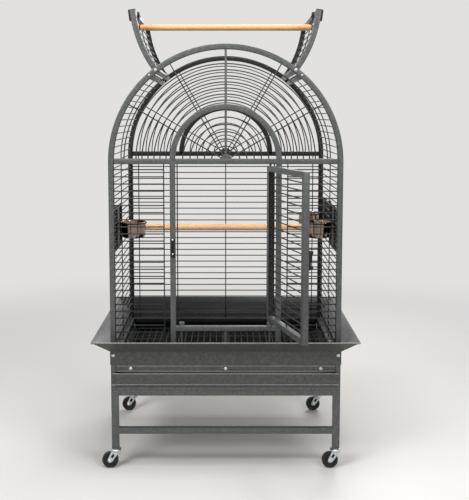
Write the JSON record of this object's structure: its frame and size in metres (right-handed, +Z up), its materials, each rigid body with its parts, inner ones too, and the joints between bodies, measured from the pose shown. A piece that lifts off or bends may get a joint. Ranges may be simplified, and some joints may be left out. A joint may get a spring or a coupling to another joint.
{
  "type": "bird cage",
  "caption": "Parrot cage with a round-topped front, a wide wire door, seed guards, a pull-out tray, a roof that opens into a play perch, and a stand on swivel casters.",
  "frame": {"origin": "on the floor, under the middle of the whole outline with the door open as at rest", "axes": "+Z up; -Y the way that the front looks; +X to the right seen from the front"},
  "size_m": [0.9316, 0.9478, 1.6212],
  "materials": {
    "powder_coat": "hammered grey powder coat on steel tube",
    "coated_sheet": "grey powder coat on steel sheet",
    "dark_sheet": "dark powder coat on steel sheet",
    "coated_wire": "dark grey powder coat on steel wire",
    "black_fittings": "black coated steel",
    "stainless_steel": "pressed and polished",
    "zinc_plate": "bright zinc plate",
    "perch_wood": "varnished dowel",
    "wheel_plastic": "black, plain"
  },
  "bodies": {
    "cage": {"door_stop_wire": "coated_wire", "door_surround": "powder_coat", "front_fan_inner": "coated_wire", "front_fan_outer": "coated_wire", "front_hoop": "powder_coat", "front_legs": "powder_coat", "front_mesh_left": "coated_wire", "front_mesh_right": "coated_wire", "front_seed_guard": "coated_sheet", "inner_perch": "perch_wood", "latch_keeper": "black_fittings", "left_base_rail": "powder_coat", "left_roof_mesh": "coated_wire", "left_roof_rail": "powder_coat", "left_seed_guard": "coated_sheet", "left_side_mesh": "coated_wire", "rear_base_rail": "powder_coat", "rear_fan": "coated_wire", "rear_hoop": "powder_coat", "rear_legs": "powder_coat", "rear_mesh": "coated_wire", "rear_seed_guard": "coated_sheet", "rear_spring_bar": "powder_coat", "right_base_rail": "powder_coat", "right_roof_mesh": "coated_wire", "right_roof_rail": "powder_coat", "right_seed_guard": "coated_sheet", "right_side_mesh": "coated_wire", "stand_top": "powder_coat"},
    "door": {"door_frame": "powder_coat", "door_mesh": "coated_wire", "latch_body": "black_fittings"},
    "latch_lever": {"latch_lever": "black_fittings"},
    "left_leaf": {"left_leaf_frame": "powder_coat", "left_leaf_mesh": "coated_wire"},
    "right_leaf": {"right_leaf_frame": "powder_coat", "right_leaf_mesh": "coated_wire"},
    "roof_perch": {"roof_perch": "perch_wood", "left_perch_hook": "black_fittings", "right_perch_hook": "black_fittings"},
    "tray": {"tray": "dark_sheet"},
    "grate": {"grate": "coated_sheet"},
    "left_feeder": {"left_feeder_door": "powder_coat", "left_bowl_holder": "black_fittings"},
    "left_bowl": {"left_bowl": "stainless_steel"},
    "right_feeder": {"right_feeder_door": "powder_coat", "right_bowl_holder": "black_fittings"},
    "right_bowl": {"right_bowl": "stainless_steel"},
    "rear_feeder": {"rear_feeder_door": "powder_coat", "rear_bowl_holder": "black_fittings"},
    "rear_bowl": {"rear_bowl": "stainless_steel"},
    "front_left_fork": {"front_left_fork": "zinc_plate"},
    "front_left_wheel": {"front_left_wheel": "wheel_plastic"},
    "front_right_fork": {"front_right_fork": "zinc_plate"},
    "front_right_wheel": {"front_right_wheel": "wheel_plastic"},
    "rear_left_fork": {"rear_left_fork": "zinc_plate"},
    "rear_left_wheel": {"rear_left_wheel": "wheel_plastic"},
    "rear_right_fork": {"rear_right_fork": "zinc_plate"},
    "rear_right_wheel": {"rear_right_wheel": "wheel_plastic"}
  },
  "joints": [
    {"name": "door_hinge", "type": "hinge", "parent": "cage", "child": "door", "pos_m": [0.155, -0.15987, 0.812], "axis": [0, 0, 1], "range_deg": [-107, 20]},
    {"name": "latch_turn", "type": "hinge", "parent": "door", "child": "latch_lever", "pos_m": [0.2647, -0.45677, 0.808], "axis": [0.9563, 0.2924, 0], "range_deg": [0, 90]},
    {"name": "left_leaf_hinge", "type": "hinge", "parent": "cage", "child": "left_leaf", "pos_m": [-0.23947, 0.12263, 1.41264], "axis": [0, 1, 0], "range_deg": [0, 90]},
    {"name": "right_leaf_hinge", "type": "hinge", "parent": "cage", "child": "right_leaf", "pos_m": [0.23947, 0.12263, 1.41264], "axis": [0, 1, 0], "range_deg": [-90, 0]},
    {"name": "roof_perch_lift", "type": "slide", "parent": "cage", "child": "roof_perch", "axis": [0, 0, 1], "range_m": [0, 1]},
    {"name": "tray_slide", "type": "slide", "parent": "cage", "child": "tray", "axis": [0, -1, 0], "range_m": [0, 0.5]},
    {"name": "grate_slide", "type": "slide", "parent": "cage", "child": "grate", "axis": [0, -1, 0], "range_m": [0, 0.5]},
    {"name": "left_feeder_hinge", "type": "hinge", "parent": "cage", "child": "left_feeder", "pos_m": [-0.4018, 0.10763, 0.84675], "axis": [0, 0, -1], "range_deg": [0, 90]},
    {"name": "left_bowl_lift", "type": "slide", "parent": "left_feeder", "child": "left_bowl", "axis": [0, 0, 1], "range_m": [0, 0.08]},
    {"name": "right_feeder_hinge", "type": "hinge", "parent": "cage", "child": "right_feeder", "pos_m": [0.4018, 0.10763, 0.84675], "axis": [0, 0, 1], "range_deg": [0, 90]},
    {"name": "right_bowl_lift", "type": "slide", "parent": "right_feeder", "child": "right_bowl", "axis": [0, 0, 1], "range_m": [0, 0.08]},
    {"name": "rear_feeder_hinge", "type": "hinge", "parent": "cage", "child": "rear_feeder", "pos_m": [0.4018, 0.38763, 0.84675], "axis": [0, 0, 1], "range_deg": [0, 90]},
    {"name": "rear_bowl_lift", "type": "slide", "parent": "rear_feeder", "child": "rear_bowl", "axis": [0, 0, 1], "range_m": [0, 0.08]},
    {"name": "front_left_swivel", "type": "hinge", "parent": "cage", "child": "front_left_fork", "pos_m": [-0.394, -0.15687, 0.073], "axis": [0, 0, 1], "continuous": true},
    {"name": "front_left_roll", "type": "hinge", "parent": "front_left_fork", "child": "front_left_wheel", "pos_m": [-0.414, -0.15687, 0.029], "axis": [0, 1, 0], "continuous": true},
    {"name": "front_right_swivel", "type": "hinge", "parent": "cage", "child": "front_right_fork", "pos_m": [0.394, -0.15687, 0.073], "axis": [0, 0, 1], "continuous": true},
    {"name": "front_right_roll", "type": "hinge", "parent": "front_right_fork", "child": "front_right_wheel", "pos_m": [0.374, -0.15687, 0.029], "axis": [0, 1, 0], "continuous": true},
    {"name": "rear_left_swivel", "type": "hinge", "parent": "cage", "child": "rear_left_fork", "pos_m": [-0.394, 0.40213, 0.073], "axis": [0, 0, 1], "continuous": true},
    {"name": "rear_left_roll", "type": "hinge", "parent": "rear_left_fork", "child": "rear_left_wheel", "pos_m": [-0.414, 0.40213, 0.029], "axis": [0, 1, 0], "continuous": true},
    {"name": "rear_right_swivel", "type": "hinge", "parent": "cage", "child": "rear_right_fork", "pos_m": [0.394, 0.40213, 0.073], "axis": [0, 0, 1], "continuous": true},
    {"name": "rear_right_roll", "type": "hinge", "parent": "rear_right_fork", "child": "rear_right_wheel", "pos_m": [0.374, 0.40213, 0.029], "axis": [0, 1, 0], "continuous": true}
  ],
  "couplings": [
    {"joint": "right_leaf_hinge", "follows": "left_leaf_hinge", "ratio": -1},
    {"joint": "roof_perch_lift", "follows": "left_leaf_hinge", "m_per_rad": 0.63656}
  ]
}
